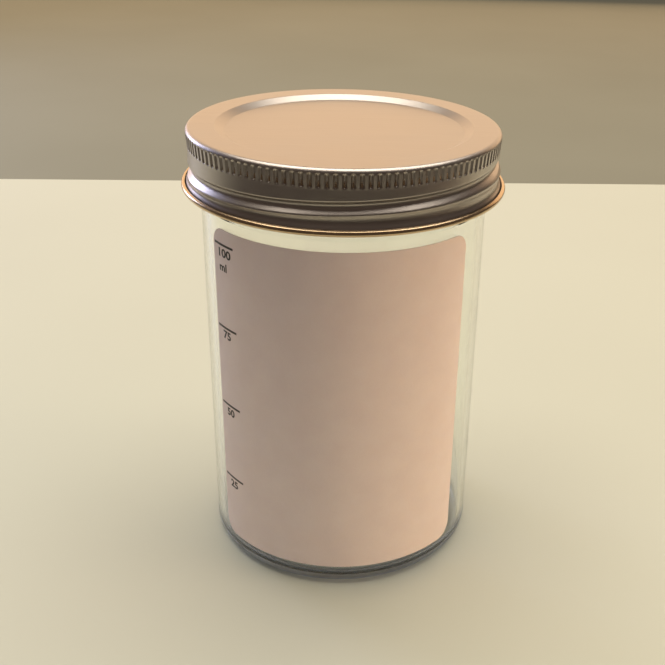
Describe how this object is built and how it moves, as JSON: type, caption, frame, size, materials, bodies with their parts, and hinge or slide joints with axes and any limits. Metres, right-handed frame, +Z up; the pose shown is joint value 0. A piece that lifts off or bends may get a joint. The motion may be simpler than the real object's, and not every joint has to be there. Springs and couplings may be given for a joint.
{
  "type": "specimen container",
  "caption": "Clear straight-sided specimen jar with a knurled metal screw cap, a sealing ring in the cap and a paper label with a filling scale.",
  "frame": {"origin": "middle of the jar's foot, on the surface that it stands on", "axes": "+Z up along the jar's axis, -Y towards the viewer of the label"},
  "size_m": [0.055, 0.055, 0.0772],
  "materials": {
    "jar": "clear moulded polystyrene, polished mould",
    "cap": "satin lacquered tinplate, gold lacquer on the inside and the rolled edge",
    "gasket": "soft sealing compound, matt",
    "label": "uncoated label paper, matt"
  },
  "bodies": {
    "jar": {"jar_body": "jar", "label": "label"},
    "cap_lining": {"cap_gasket": "gasket"},
    "cap": {"cap_shell": "cap"}
  },
  "joints": [
    {"name": "cap_lift", "type": "slide", "parent": "jar", "child": "cap_lining", "axis": [0, 0, 1], "range_m": [0, 0.0095]},
    {"name": "cap_turn", "type": "hinge", "parent": "cap_lining", "child": "cap", "pos_m": [0, 0, 0.07], "axis": [0, 0, 1], "range_deg": [0, 720]}
  ],
  "couplings": [
    {"joint": "cap_lift", "follows": "cap_turn", "m_per_rad": 0.00074803}
  ]
}
